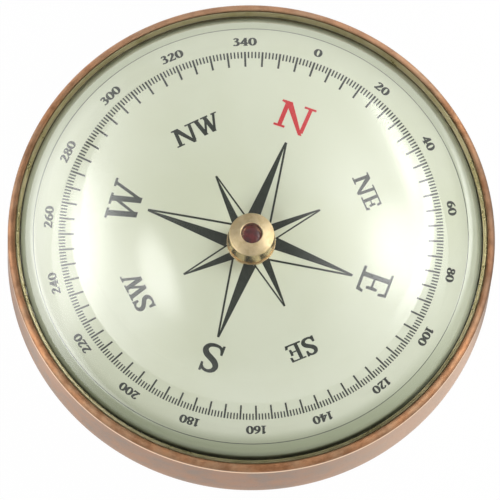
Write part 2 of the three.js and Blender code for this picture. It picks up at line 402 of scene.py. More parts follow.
def place(tree):
    """Object coordinates, the height in them and the distance from the axis, in metres."""
    whole = coordinates(tree)
    apart = put(tree, "ShaderNodeSeparateXYZ", {0: whole})
    flat = put(tree, "ShaderNodeCombineXYZ", {"X": apart.outputs[0], "Y": apart.outputs[1]})
    radius = put(tree, "ShaderNodeVectorMath", {0: flat.outputs[0]}, operation="LENGTH").outputs["Value"]
    return whole, apart.outputs[2], radius


def turning_marks(tree, height, radius, fineness):
    """Noise that only changes along the section, as a lathe tool leaves it."""
    along = put(tree, "ShaderNodeCombineXYZ", {"X": radius, "Y": height})
    return noise(tree, along.outputs[0], fineness, 3, 0.6)


def bumped(tree, shader, height, depth):
    """Bump of that height pattern, its depth in metres."""
    made = put(tree, "ShaderNodeBump", {"Height": height, "Distance": depth, "Strength": 1.0})
    tree.links.new(made.outputs[0], shader.inputs["Normal"])


def fill(tree, shader, **inputs):
    """Sets or links inputs of the shader, whose names are given with underscores."""
    for name, value in inputs.items():
        socket = shader.inputs[name.replace("_", " ")]
        if isinstance(value, bpy.types.NodeSocket):
            tree.links.new(value, socket)
        else:
            socket.default_value = value


# Materials

def rim_colour(tree, forward, radius, cloudy, patchy):
    """Copper brown, stained in patches, with painted light at the far side, and darker inside."""
    colour = blend(tree, cloudy, linear(167, 122, 88), linear(158, 126, 98))
    colour = blend(tree, calc(tree, "MULTIPLY", patchy, 0.55), colour, linear(112, 74, 48))
    # Painted light: the far side of the rim is paler
    colour = blend(tree, across(tree, forward, FAR_RIM_LIGHT_Y, 0, 0.3), colour, linear(212, 176, 148))
    return blend(tree, across(tree, radius, RIM_INSIDE, 0.75, 0), colour, linear(104, 86, 58))


def wall_colour(tree, sideways, height, cloudy, patchy):
    """A greyer brown, stained in patches, with painted light at the right and at the foot."""
    colour = blend(tree, cloudy, linear(158, 140, 127), linear(174, 143, 123))
    colour = blend(tree, calc(tree, "MULTIPLY", patchy, 0.4), colour, linear(186, 146, 118))
    # Painted light: the wall is paler at the right and at the foot
    colour = blend(tree, across(tree, sideways, PAINTED_LIGHT_WALL_X, 0, 0.7), colour, linear(206, 178, 156))
    foot = across(tree, height, PAINTED_LIGHT_FOOT_Z, 1, 0)
    return blend(tree, calc(tree, "MULTIPLY", foot, 0.35), colour, linear(204, 184, 168))


def worn_edge(tree, height, patches):
    """How strong the painted highlight is on the edge between rim and wall, more in some patches."""
    edge_highlight = across(tree, height, HIGHLIGHT_FROM_Z)
    edge_highlight = calc(tree, "MULTIPLY", edge_highlight, across(tree, height, HIGHLIGHT_TO_Z, 1, 0))
    return calc(tree, "MULTIPLY", edge_highlight, between(tree, patches, 0.25, 0.5, 0.7, 1))


def browned_sides(tree, sideways, forward):
    """How much darker the case is at its left and at its right."""
    left = across(tree, sideways, LEFT_DARKER_X, 0.45, 0)
    right = across(tree, sideways, RIGHT_DARKER_X, 0, 0.7)
    right = calc(tree, "MULTIPLY", right, across(tree, forward, RIGHT_DARKER_Y))
    return calc(tree, "ADD", left, right)


def antique_brass():
    """Antique brass gone to copper, rim and wall coloured apart partly as painted shade, a painted
    highlight between.
    """
    made, tree, shader = material("antique_brass")
    whole, height, radius = place(tree)
    apart = put(tree, "ShaderNodeSeparateXYZ", {0: whole})
    sideways = apart.outputs[0]
    forward = apart.outputs[1]
    patches = noise(tree, whole, 300, 5, 0.65)
    specks = noise(tree, whole, 2600, 3, 0.6)
    marks = turning_marks(tree, height, radius, 5200)
    cloudy = between(tree, noise(tree, whole, 130, 5, 0.6), 0.38, 0.62)
    patchy = between(tree, patches, 0.4, 0.64)
    rim = rim_colour(tree, forward, radius, cloudy, patchy)
    wall = wall_colour(tree, sideways, height, cloudy, patchy)
    outside = across(tree, radius, RIM_OUTSIDE)
    on_wall = calc(tree, "MULTIPLY", across(tree, height, WALL_TO_RIM_Z, 1, 0), outside)
    # The rim is browner and darker than the wall, partly as painted shade
    colour = blend(tree, on_wall, rim, wall)
    # A painted highlight on the edge between rim and wall
    edge_highlight = calc(tree, "MULTIPLY", worn_edge(tree, height, patches), outside)
    colour = blend(tree, edge_highlight, colour, linear(254, 228, 200))
    # The case made darker at its left and at its near right
    darkened = calc(tree, "MULTIPLY", browned_sides(tree, sideways, forward), outside)
    colour = blend(tree, darkened, colour, linear(82, 66, 56))
    colour = blend(tree, between(tree, specks, 0.62, 0.75, 0, 0.5), colour, linear(88, 58, 40))
    rough = calc(tree, "ADD", calc(tree, "MULTIPLY", patches, 0.18), 0.52)
    fill(tree, shader, Base_Color=colour, Metallic=1.0, Roughness=rough)
    lines = calc(tree, "ADD", calc(tree, "MULTIPLY", marks, 0.6), calc(tree, "MULTIPLY", specks, 0.4))
    bumped(tree, shader, lines, TURNED_BUMP)
    return made


def ring_brass():
    """The olive brass of the ring round the glass, with turned lines."""
    made, tree, shader = material("ring_brass")
    whole, height, radius = place(tree)
    clouds = between(tree, noise(tree, whole, 160, 4, 0.6), 0.36, 0.64)
    marks = turning_marks(tree, height, radius, 7000)
    colour = blend(tree, clouds, linear(162, 152, 110), linear(190, 180, 142))
    colour = blend(tree, between(tree, marks, 0.55, 0.7, 0, 0.5), colour, linear(78, 72, 38))
    rough = calc(tree, "ADD", calc(tree, "MULTIPLY", clouds, 0.12), 0.26)
    fill(tree, shader, Base_Color=colour, Metallic=1.0, Roughness=rough)
    bumped(tree, shader, marks, TURNED_BUMP)
    return made


def spacer_brass():
    """The green grey brass inside the case."""
    made, tree, shader = material("spacer_brass")
    whole, height, radius = place(tree)
    clouds = between(tree, noise(tree, whole, 110, 4, 0.6), 0.36, 0.64)
    marks = turning_marks(tree, height, radius, 4200)
    colour = blend(tree, clouds, linear(58, 66, 42), linear(80, 88, 60))
    rough = calc(tree, "ADD", calc(tree, "MULTIPLY", marks, 0.2), 0.36)
    fill(tree, shader, Base_Color=colour, Metallic=0.6, Roughness=rough)
    bumped(tree, shader, marks, TURNED_BUMP)
    return made


def bright_brass(name, tone, dull, shine, satin_from=None):
    """Turned brass with fine rings of tool marks, a little tarnish and perhaps a satin top."""
    made, tree, shader = material(name)
    whole, height, radius = place(tree)
    marks = turning_marks(tree, height, radius, 9000)
    clouds = noise(tree, whole, 700, 4, 0.6)
    colour = blend(tree, between(tree, clouds, 0.42, 0.66), tone, dull)
    rough = calc(tree, "ADD", calc(tree, "MULTIPLY", clouds, 0.16), shine)
    if satin_from:
        satin = across(tree, height, (satin_from, satin_from + HUB_SATIN_STEP), 0, 0.2)
        rough = calc(tree, "ADD", rough, satin)
    fill(tree, shader, Base_Color=colour, Metallic=1.0, Roughness=rough)
    bumped(tree, shader, marks, COARSE_BUMP)
    return made


def card_paint():
    """The card's cream enamel, greyer outside the printed line, with painted shade and painted black gap
    shadow.

    In the photograph the near edge lies in shade over a black gap, so both are darkest on that side.
    """
    made, tree, shader = material("card_paint")
    whole, _, radius = place(tree)
    grain = noise(tree, whole, 5200, 3, 0.6)
    clouds = noise(tree, whole, 45, 3, 0.5)
    cream = blend(tree, between(tree, clouds, 0.35, 0.65), linear(211, 215, 190), linear(217, 221, 199))
    colour = blend(tree, across(tree, radius, MARGIN_FROM, 0, 0.75), cream, linear(197, 203, 176))
    colour = blend(tree, between(tree, grain, 0.6, 0.8, 0, 0.35), colour, linear(188, 190, 164))
    spot = put(tree, "ShaderNodeNewGeometry").outputs["Position"]
    forward = put(tree, "ShaderNodeSeparateXYZ", {0: spot}).outputs[1]
    near = across(tree, forward, NEAR_SIDE_Y, 1, 0.2)
    # Painted shade towards the edge, darkest on the near side
    shaded = across(tree, radius, CARD_SHADE, 0, 0.7)
    colour = blend(tree, calc(tree, "MULTIPLY", shaded, near), colour, linear(136, 144, 106))
    # A painted black shadow of the gap beyond the card, on its rolled edge, darkest on the near side
    rolled = across(tree, radius, CARD_GAP_SHADOW)
    colour = blend(tree, calc(tree, "MULTIPLY", rolled, near), colour, linear(24, 28, 14))
    rough = calc(tree, "ADD", calc(tree, "MULTIPLY", grain, 0.2), 0.42)
    fill(tree, shader, Base_Color=colour, Roughness=rough, Specular_IOR_Level=0.3)
    bumped(tree, shader, grain, FINE_BUMP)
    return made


def ink(name, tone, thin):
    """Printing ink, a little uneven."""
    made, tree, shader = material(name)
    clouds = noise(tree, coordinates(tree), 1500, 4, 0.6)
    colour = blend(tree, between(tree, clouds, 0.4, 0.75), tone, thin)
    rough = calc(tree, "ADD", calc(tree, "MULTIPLY", clouds, 0.2), 0.4)
    fill(tree, shader, Base_Color=colour, Roughness=rough, Specular_IOR_Level=0.3)
    return made


def clear_glass():
    """Clear glass that bends what is seen through it and lets lamps light the card."""
    made, tree, shader = material("clear_glass")
    fill(tree, shader, Base_Color=GLASS_TINT, Roughness=0.0, IOR=GLASS_INDEX, Transmission_Weight=1.0)
    rays = put(tree, "ShaderNodeLightPath")
    lighting = calc(tree, "MAXIMUM", rays.outputs["Is Shadow Ray"], rays.outputs["Is Diffuse Ray"])
    clear = put(tree, "ShaderNodeBsdfTransparent")
    mixed = put(tree, "ShaderNodeMixShader", {0: lighting, 1: shader.outputs[0], 2: clear.outputs[0]})
    tree.links.new(mixed.outputs[0], tree.nodes["Material Output"].inputs["Surface"])
    return made


def ruby():
    """A dark red jewel that lets some light in."""
    made, tree, shader = material("ruby")
    clouds = noise(tree, coordinates(tree), 900, 3, 0.5)
    colour = blend(tree, between(tree, clouds, 0.35, 0.7), linear(150, 20, 22), linear(84, 6, 10))
    fill(tree, shader, Base_Color=colour, Roughness=0.06, IOR=RUBY_INDEX, Transmission_Weight=0.55)
    return made


def black_rubber():
    """Rubber with a matt, slightly grained face."""
    made, tree, shader = material("black_rubber")
    grain = noise(tree, coordinates(tree), 3000, 4, 0.6)
    colour = blend(tree, between(tree, grain, 0.4, 0.7), linear(22, 24, 16), linear(40, 42, 32))
    rough = calc(tree, "ADD", calc(tree, "MULTIPLY", grain, 0.2), 0.7)
    fill(tree, shader, Base_Color=colour, Roughness=rough)
    bumped(tree, shader, grain, COARSE_BUMP)
    return made


def green_felt():
    """Felt with a fibrous face."""
    made, tree, shader = material("green_felt")
    whole = coordinates(tree)
    fibres = noise(tree, whole, 1600, 8, 0.75)
    clouds = noise(tree, whole, 90, 4, 0.6)
    colour = blend(tree, between(tree, fibres, 0.35, 0.68), linear(26, 56, 38), linear(62, 104, 76))
    colour = blend(tree, between(tree, clouds, 0.4, 0.7, 0, 0.35), colour, linear(40, 74, 52))
    fill(tree, shader, Base_Color=colour, Roughness=0.95, Sheen_Weight=0.35, Sheen_Roughness=0.5)
    bumped(tree, shader, fibres, FELT_BUMP)
    return made


def steel(name, tone, dark, rough):
    """Ground steel with fine scratches along Y."""
    made, tree, shader = material(name)
    inputs = {"Vector": coordinates(tree), "Scale": (1, 0.04, 1)}
    stretched = put(tree, "ShaderNodeMapping", inputs)
    scratches = noise(tree, stretched.outputs[0], 6000, 4, 0.6)
    colour = blend(tree, between(tree, scratches, 0.35, 0.7), tone, dark)
    roughness = calc(tree, "ADD", calc(tree, "MULTIPLY", scratches, 0.2), rough)
    fill(tree, shader, Base_Color=colour, Metallic=1.0, Roughness=roughness)
    bumped(tree, shader, scratches, FINE_BUMP)
    return made


ANTIQUE_BRASS = antique_brass()
RING_BRASS = ring_brass()
SPACER_BRASS = spacer_brass()
HUB_BRASS = bright_brass("hub_brass", linear(236, 212, 170), linear(222, 196, 150), 0.14, HUB_SATIN_FROM)
INNER_BRASS = bright_brass("inner_brass", linear(200, 170, 108), linear(176, 140, 82), 0.26)
CARD_PAINT = card_paint()
DARK_INK = ink("dark_ink", linear(30, 35, 27), linear(44, 49, 40))
RED_INK = ink("red_ink", linear(200, 38, 46), linear(208, 58, 62))
CLEAR_GLASS = clear_glass()
RUBY = ruby()
BLACK_RUBBER = black_rubber()
GREEN_FELT = green_felt()
MAGNET_STEEL = steel("magnet_steel", linear(104, 107, 112), linear(78, 80, 84), 0.3)
PIN_STEEL = steel("pin_steel", linear(196, 199, 203), linear(160, 163, 168), 0.16)


# Pieces of the case

def make_case():
    """The turned cup with its rounded rim and foot."""
    outline = [
        (SCREW_HOLE, FLOOR_TOP),
        (SCREW_HOLE, COUNTERSINK_TOP),
        (COUNTERSINK, FLOOR_UNDERSIDE),
        (FELT_RADIUS + FELT_CLEARANCE, FLOOR_UNDERSIDE),
        (FELT_RADIUS + FELT_CLEARANCE, FOOT_HEIGHT),
        *arc(CASE_RADIUS - FOOT_ROUND, FOOT_HEIGHT + FOOT_ROUND, FOOT_ROUND, -90, 0, 12),
        *arc(CASE_RADIUS - RIM_ROUND, RIM_TOP - RIM_ROUND, RIM_ROUND, 0, 90, 16),
        *arc(BORE_RADIUS + RIM_INNER_ROUND, RIM_TOP - RIM_INNER_ROUND, RIM_INNER_ROUND, 90, 180, 8),
        (BORE_RADIUS, FLOOR_TOP),
    ]
    made = turned("case_turned", outline, "case", ANTIQUE_BRASS)
    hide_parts("case_body")


def make_felt():
    """A disc of felt with a softly rounded edge, glued into the recess."""
    edge = FELT_EDGE_ROUND
    outline = [
        (0, 0),
        (FELT_RADIUS / 2, 0),
        *arc(FELT_RADIUS - edge, edge, edge, -90, 0, 5),
        *arc(FELT_RADIUS - edge, FELT_TOP - edge, edge, 0, 90, 5),
        (0, FELT_TOP),
    ]
    made = turned("felt_disc", outline, "case", GREEN_FELT)
    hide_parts("felt_pad")


def make_spacer():
    """The ring that stands on the case's floor and carries the glass."""
    edge = SPACER_EDGE_ROUND
    outline = [
        (SPACER_INNER, FLOOR_TOP),
        (FITTED_RADIUS, FLOOR_TOP),
        (FITTED_RADIUS, SPACER_TOP),
        *arc(SPACER_INNER + edge, SPACER_TOP - edge, edge, 90, 180, 3),
    ]
    made = turned("spacer_turned", outline, "case", SPACER_BRASS)
    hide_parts("spacer_ring")


def make_gasket():
    """The gasket, its inner edge pressed round by the glass."""
    low = SPACER_TOP + FACE_GAP
    high = GLASS_SEAT - FACE_GAP
    middle = (low + high) / 2
    half = (high - low) / 2
    outline = [
        (FITTED_RADIUS, low),
        (FITTED_RADIUS, high),
        *arc(GASKET_INNER + half, middle, half, 90, 270, 8),
    ]
    made = turned("gasket_pressed", outline, "case", BLACK_RUBBER)
    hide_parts("glass_gasket")


def make_glass():
    """The lens: a high dome above, flat below, and a flange under the ring."""
    outline = [
        (0, GLASS_SEAT),
        (FITTED_RADIUS, GLASS_SEAT),
        (FITTED_RADIUS, FLANGE_TOP),
        (DOME_RADIUS, FLANGE_TOP),
        *dome(DOME_RADIUS, DOME_EDGE, DOME_RISE, DOME_STEPS),
    ]
    made = turned("dome_lens", outline, "case", CLEAR_GLASS)
    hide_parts("dome_glass")


def make_retaining_ring():
    """The ring that holds the glass, its sloping top turned with two fine grooves."""
    low = FLANGE_TOP + FACE_GAP
    outer = FITTED_RADIUS - RING_TOP_WIDTH
    slope = (RING_TOP - RING_LIP) / (outer - RING_INNER)
    outline = [(RING_INNER, low), (FITTED_RADIUS, low), (FITTED_RADIUS, RING_TOP), (outer, RING_TOP)]
    for share in RING_GROOVE_SHARES:
        radius = RING_INNER + share * (outer - RING_INNER)
        height = RING_LIP + slope * (radius - RING_INNER)
        outline.append((radius + RING_GROOVE / 2, height + slope * RING_GROOVE / 2))
        outline.append((radius, height - RING_GROOVE))
        outline.append((radius - RING_GROOVE / 2, height - slope * RING_GROOVE / 2))
    outline.append((RING_INNER, RING_LIP))
    made = turned("ring_turned", outline, "case", RING_BRASS)
    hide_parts("glass_retaining_ring")


# Pieces of the card

def make_card():
    """The thin pressed disc with its edge rolled down."""
    bend = CARD_RADIUS - CARD_EDGE_ROUND
    bend_height = CARD_TOP - CARD_EDGE_ROUND
    inner_round = CARD_EDGE_ROUND - (CARD_TOP - CARD_UNDERSIDE)
    outline = [
        (CARD_HOLE, CARD_UNDERSIDE),
        *arc(bend, bend_height, inner_round, 90, 0, 8),
        *arc(bend, bend_height, CARD_EDGE_ROUND, 0, 90, 12),
        (CARD_HOLE, CARD_TOP),
    ]
    made = turned("card_disc", outline, "card", CARD_PAINT)
    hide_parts("compass_card")


def make_washer():
    """The thin washer between the card and the hub."""
    edge = WASHER_EDGE_ROUND
    outline = [
        (CARD_HOLE, CARD_TOP),
        (WASHER_RADIUS, CARD_TOP),
        *arc(WASHER_RADIUS - edge, HUB_UNDERSIDE - edge, edge, 0, 90, 3),
        (CARD_HOLE, HUB_UNDERSIDE),
    ]
    made = turned("washer_turned", outline, "card", HUB_BRASS, SMALL_TURN_STEPS)
    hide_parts("hub_washer")


def make_hub():
    """The cap with its conical top, and the stem that passes down through the card."""
    edge_height = HUB_EDGE - HUB_EDGE_ROUND
    lip = JEWEL_HOLE_ROUND
    outline = [
        (HUB_BORE, HUB_NUT_UNDERSIDE),
        (HUB_STEM, HUB_NUT_UNDERSIDE),
        (HUB_STEM, HUB_UNDERSIDE),
        (HUB_RADIUS - HUB_FOOT_CHAMFER, HUB_UNDERSIDE),
        (HUB_RADIUS, HUB_UNDERSIDE + HUB_FOOT_CHAMFER),
        *arc(HUB_RADIUS - HUB_EDGE_ROUND, edge_height, HUB_EDGE_ROUND, 0, HUB_EDGE_TURN, 8),
        *arc(JEWEL_HOLE + lip, HUB_CROWN - lip, lip, HUB_EDGE_TURN, 180, 5),
        (JEWEL_HOLE, JEWEL_UNDERSIDE),
        (HUB_BORE, JEWEL_UNDERSIDE),
    ]
    made = turned("hub_turned", outline, "card", HUB_BRASS, SMALL_TURN_STEPS)
    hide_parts("hub_cap")


def make_jewel():
    """The ruby with a crowned top and a cone below for the pin."""
    outline = [
        (0, JEWEL_UNDERSIDE + JEWEL_CUP_DEPTH),
        (JEWEL_CUP_RADIUS, JEWEL_UNDERSIDE + FACE_GAP),
        (JEWEL_RADIUS, JEWEL_UNDERSIDE + FACE_GAP),
        *dome(JEWEL_RADIUS, JEWEL_EDGE, JEWEL_CROWN, JEWEL_DOME_STEPS),
    ]
    made = turned("jewel_cut", outline, "card", RUBY, SMALL_TURN_STEPS)
    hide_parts("jewel_cup")


# Printed letters, drawn in hundredths of their height

def slant(low_x, high_x, width, low=0, high=100):
    """A straight stroke with level ends."""
    half = width / 2
    return [(low_x - half, low), (low_x + half, low), (high_x + half, high), (high_x - half, high)]


def bar(left, right, low, high):
    """A level stroke or serif."""
    return [(left, low), (right, low), (right, high), (left, high)]


def smooth_points(knots, closed, steps=6):
    """Points (x, y, width) of a smooth curve through the knots."""
    points = []
    count = len(knots)
    last = count if closed else count - 1
    for index in range(last):
        if closed:
            near = [knots[(index + shift) % count] for shift in (-1, 0, 1, 2)]
        else:
            near = [knots[min(max(index + shift, 0), count - 1)] for shift in (-1, 0, 1, 2)]
        for step in range(steps):
            points.append(curve_point(near, step / steps))
    if not closed:
        points.append(knots[-1])
    return points


def curve_point(near, share):
    """The point at a share of the way between the middle two of four knots."""
    before, start, end, after = near
    square = share ** 2
    cube = share ** 3
    values = []
    for a, b, c, d in zip(before, start, end, after):
        value = 2 * b + (c - a) * share
        value += (2 * a - 5 * b + 4 * c - d) * square
        value += (3 * b - a - 3 * c + d) * cube
        values.append(value / 2)
    return tuple(values)


def stroke(knots, closed=False):
    """Faces of a pen stroke of changing width along a smooth curve."""
    points = smooth_points(knots, closed)
    count = len(points)
    sides = []
    for index, (x, y, width) in enumerate(points):
        ahead = points[(index + 1) % count] if closed else points[min(index + 1, count - 1)]
        behind = points[index - 1] if closed or index else points[0]
        along = Vector((ahead[0] - behind[0], ahead[1] - behind[1])).normalized()
        across = Vector((-along.y, along.x)) * width / 2
        sides.append(((x + across.x, y + across.y), (x - across.x, y - across.y)))
    pairs = zip(sides, sides[1:] + sides[:1] if closed else sides[1:])
    return [[start[1], end[1], end[0], start[0]] for start, end in pairs]


def bowl(x, y, half_width, half_height, thick, thin):
    """A closed round stroke, thick at its sides and thin above and below."""
    knots = []
    for step in range(BOWL_KNOTS):
        angle = 2 * math.pi * step / BOWL_KNOTS
        width = thin + (thick - thin) * abs(math.cos(angle)) ** BOWL_CONTRAST
        knots.append((x + half_width * math.cos(angle), y + half_height * math.sin(angle), width))
    return stroke(knots, closed=True)


# Each letter: its width, then its faces
LETTERS = {
    "N": (128, [
        slant(22, 26, 15),
        slant(100, 107, 13),
        [(4, 93), (6, 100), (40, 100), (106, -9), (93, -9), (22, 88)],
        bar(2, 41, 0, 8),
        bar(84, 126, 92, 100),
    ]),
    "E": (84, [
        slant(25, 25, 15),
        bar(2, 76, 92, 100),
        bar(0, 78, 0, 9),
        bar(25, 64, 42, 49),
        [(66, 96), (76, 96), (78, 72), (70, 72)],
        [(66, 4), (78, 4), (82, 22), (74, 22)],
        [(56, 46), (59, 28), (67, 28), (67, 64), (59, 64)],
    ]),
    "S": (74, [
        *stroke([
            (60, 80, 8), (50, 93, 10), (35, 97, 11), (20, 90, 15), (15, 75, 18), (23, 60, 20),
            (38, 49, 20), (54, 38, 20), (61, 23, 18), (53, 8, 14), (34, 3, 11), (18, 7, 9), (10, 20, 8),
        ]),
        [(57, 102), (64, 102), (63, 70), (56, 70), (53, 88)],
        [(4, -2), (11, -2), (17, 12), (12, 32), (5, 32)],
    ]),
    "W": (132, [
        slant(38, 16, 18),
        [(32, 0), (40, 0), (70, 76), (60, 76)],
        slant(85, 65, 18),
        slant(85, 119, 10),
        bar(0, 33, 92, 100),
        bar(46, 83, 92, 100),
        bar(105, 132, 92, 100),
    ]),
    "0": (72, bowl(36, 50, 25, 44, 23, 12)),
    "1": (56, [
        slant(32, 32, 21),
        [(11, 83), (14, 74), (30, 84), (42, 100), (30, 100)],
        bar(10, 54, 0, 10),
    ]),
    "2": (70, [
        *stroke([
            (13, 74, 17), (20, 88, 14), (35, 93, 13), (48, 86, 19), (51, 71, 22), (43, 52, 20),
            (28, 30, 15), (12, 9, 12),
        ]),
        bar(5, 63, 0, 17),
        [(52, 6), (62, 0), (68, 24), (62, 24)],
    ]),
    "3": (66, [
        *stroke([(12, 82, 15), (26, 94, 13), (41, 89, 18), (45, 75, 20), (36, 60, 14), (20, 54, 11)]),
        *stroke([(20, 54, 11), (42, 50, 16), (52, 30, 22), (43, 10, 18), (26, 5, 12), (9, 10, 16)]),
    ]),
    "4": (74, [
        slant(48, 48, 21),
        [(1, 28), (15, 28), (52, 83), (52, 100), (43, 100)],
        bar(2, 71, 23, 39),
        bar(30, 66, 0, 9),
    ]),
    "6": (72, [
        *bowl(37, 31, 22, 25, 21, 13),
        *stroke([(15, 31, 21), (19, 58, 20), (33, 80, 16), (58, 95, 11)]),
    ]),
    "8": (70, [
        *bowl(36, 74, 18, 20, 19, 12),
        *bowl(36, 27, 22, 22, 21, 12),
    ]),
}


def turned_point(x, y, heading):
    """A point of the dial turned clockwise to its heading."""
    angle = math.radians(heading)
    return (x * math.cos(angle) + y * math.sin(angle), y * math.cos(angle) - x * math.sin(angle))


def written(text, height, radius, heading, spread=0):
    """Faces of a word whose middle is at a radius and heading, its top outwards.

    Small print is made bolder by a spread to both sides, in hundredths of its height.
    """
    scale = height / 100
    total = sum(LETTERS[letter][0] for letter in text)
    faces = []
    start = -total / 2
    for letter in text:
        width, shapes = LETTERS[letter]
        for shift in sorted({-spread, spread}):
            for shape in shapes:
                corners = [((start + shift + x) * scale, radius + (y - 50) * scale) for x, y in shape]
                faces.append([turned_point(x, y, heading) for x, y in corners])
        start += width
    return faces


def signed_area(corners):
    """The area inside the corners, positive where they run anticlockwise."""
    pairs = zip(corners, corners[1:] + corners[:1])
    return sum(start.x * end.y - end.x * start.y for start, end in pairs) / 2


def printed(name, faces, ink_material):
    """A thin layer of ink in the union of flat faces."""
    places = []
    loops = []
    for face in faces:
        corners = [Vector(corner) for corner in face]
        if signed_area(corners) < 0:
            corners.reverse()
        loops.append(list(range(len(places), len(places) + len(corners))))
        places.extend(corners)
    cut = mathutils.geometry.delaunay_2d_cdt(places, [], loops, 0, MERGE_DISTANCE)
    cut_places, _, cut_faces, _, _, cut_sources = cut
    build = bmesh.new()
    low = [build.verts.new((spot.x * MM, spot.y * MM, CARD_TOP * MM)) for spot in cut_places]
    for corners, sources in zip(cut_faces, cut_sources):
        if sources:
            build.faces.new([low[corner] for corner in corners])
    loose = [vertex for vertex in build.verts if not vertex.link_faces]
    bmesh.ops.delete(build, geom=loose, context="VERTS")
    raised = bmesh.ops.extrude_face_region(build, geom=build.faces[:], use_keep_orig=True)
    moved = [item for item in raised["geom"] if isinstance(item, bmesh.types.BMVert)]
    bmesh.ops.translate(build, verts=moved, vec=(0, 0, INK_HEIGHT * MM))
    return finished(name, from_bmesh(name, build), "card", ink_material)


def tick(low, high, width, heading):
    """One line of the degree scale."""
    half = width / 2
    corners = [(-half, low), (half, low), (half, high), (-half, high)]
    return [turned_point(x, y, heading) for x, y in corners]


def rose_point(reach, slope, line, tip, heading):
    """One point of the rose: blunt, its left half solid and its right half only outlined."""
    foot = tip + slope * (reach - POINT_FOOT)
    corners = [
        (tip, reach),
        (-tip, reach),
        (-foot, POINT_FOOT),
        (0, POINT_FOOT),
        (0, reach - (line - tip) / slope),
        (foot - line, POINT_FOOT),
        (foot, POINT_FOOT),
    ]
    return [turned_point(x, y, heading) for x, y in corners]


def circle_line(radius, width, steps=360):
    """A thin circle as flat faces."""
    faces = []
    for step in range(steps):
        start = 360 * step / steps
        end = 360 * (step + 1) / steps
        faces.append([
            turned_point(0, radius - width / 2, start),
            turned_point(0, radius + width / 2, start),
            turned_point(0, radius + width / 2, end),
            turned_point(0, radius - width / 2, end),
        ])
    return faces


def make_print():
    """The whole dial: scale, numerals, letters and rose."""
    ticks = []
    for degree in range(360):
        size = SHORT_TICK if degree % LONG_TICK_STEP else LONG_TICK
        ticks.append(tick(*size, degree))
    printed("print_scale", ticks, DARK_INK)
    printed("print_line", circle_line(LINE_RADIUS, LINE_WIDTH), DARK_INK)
    numerals = []
    for degree in range(0, 360, NUMERAL_STEP):
        text = str(degree)
        numerals.extend(written(text, NUMERAL_HEIGHT, NUMERAL_RADIUS, degree, SMALL_PRINT_SPREAD))
    printed("print_numerals", numerals, DARK_INK)
    words = {}
    for index, text in enumerate("NESW"):
        heading = 90 * index + MAIN_LETTER_TURN[text]
        words[text] = written(text, MAIN_LETTER_HEIGHT[text], MAIN_LETTER_RADIUS[text], heading)
    for index, text in enumerate(("NE", "SE", "SW", "NW")):
        heading = 45 + 90 * index + MINOR_LETTER_TURN[text]
        height = MINOR_LETTER_HEIGHT[text]
        words[text] = written(text, height, MINOR_LETTER_RADIUS, heading, SMALL_PRINT_SPREAD)
    printed("print_north", words.pop("N"), RED_INK)
    printed("print_letters", sum(words.values(), []), DARK_INK)
    points = []
    for index in range(4):
        points.append(rose_point(*MAIN_POINT, 90 * index))
        points.append(rose_point(*MINOR_POINT, 90 * index + 45))
    printed("print_rose", points, DARK_INK)


def dress_inner_nodes():
    """The pieces under the card keep their CAD shapes and get their materials."""
    looks = {
        "pivot_post": INNER_BRASS,
        "pivot_pin": PIN_STEEL,
        "post_screw": INNER_BRASS,
        "hub_nut": INNER_BRASS,
        "magnet_carrier": INNER_BRASS,
        "magnet_west": MAGNET_STEEL,
        "magnet_east": MAGNET_STEEL,
        "magnet_rivet_west": INNER_BRASS,
        "magnet_rivet_east": INNER_BRASS,
        "balance_weight": INNER_BRASS,
    }
    for node, look in looks.items():
        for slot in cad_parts[node].material_slots:
            slot.material = look


# Floor, lights and camera

def seen(tree):
    """1 for rays that show the background: those of the camera, of gloss and of glass."""
    rays = put(tree, "ShaderNodeLightPath")
    gloss = calc(tree, "MAXIMUM", rays.outputs["Is Glossy Ray"], rays.outputs["Is Transmission Ray"])
    return calc(tree, "MAXIMUM", rays.outputs["Is Camera Ray"], gloss), rays


def unit_vector(tree, vector):
    """The vector at a length of 1."""
    return put(tree, "ShaderNodeVectorMath", {0: vector}, operation="NORMALIZE").outputs["Vector"]


def make_floor():
    """A white floor that keeps a faint shadow, with the left window's pool of light in gloss.

    It is open under the felt and from below, so that the felt shows there.
    """
    mesh = bpy.data.meshes.new("floor")
    half = FLOOR_HALF
    corners = [(-half, -half, 0), (half, -half, 0), (half, half, 0), (-half, half, 0)]
    mesh.from_pydata(corners, [], [(0, 1, 2, 3)])
    floor = bpy.data.objects.new("floor", mesh)
    bpy.context.scene.collection.objects.link(floor)
    made, tree, shader = material("floor_white")
    fill(tree, shader, Base_Color=linear(236, 236, 236), Roughness=0.9, Specular_IOR_Level=0.1)
    whole, _, radius = place(tree)
    pool = glow(tree, unit_vector(tree, whole), *POOL_PATCH)
    reach = between(tree, radius, POOL_START, POOL_FULL, 0, POOL_STRENGTH)
    pool = calc(tree, "MULTIPLY", pool, reach)
    shown, rays = seen(tree)
    pool = calc(tree, "MULTIPLY", pool, rays.outputs["Is Glossy Ray"])
    strength = calc(tree, "ADD", pool, 1.0)
    white = put(tree, "ShaderNodeEmission", {"Color": (1, 1, 1, 1), "Strength": strength})
    share = calc(tree, "MULTIPLY", shown, FLOOR_WHITE)
    mixed = put(tree, "ShaderNodeMixShader", {0: share, 1: shader.outputs[0], 2: white.outputs[0]})
    covered = calc(tree, "LESS_THAN", radius, (FELT_RADIUS - FELT_CLEARANCE) * MM)
    open_place = calc(tree, "MAXIMUM", covered, put(tree, "ShaderNodeNewGeometry").outputs["Backfacing"])
    clear = put(tree, "ShaderNodeBsdfTransparent")
    shaded = put(tree, "ShaderNodeMixShader", {0: open_place, 1: mixed.outputs[0], 2: clear.outputs[0]})
    tree.links.new(shaded.outputs[0], tree.nodes["Material Output"].inputs["Surface"])
    mesh.materials.append(made)


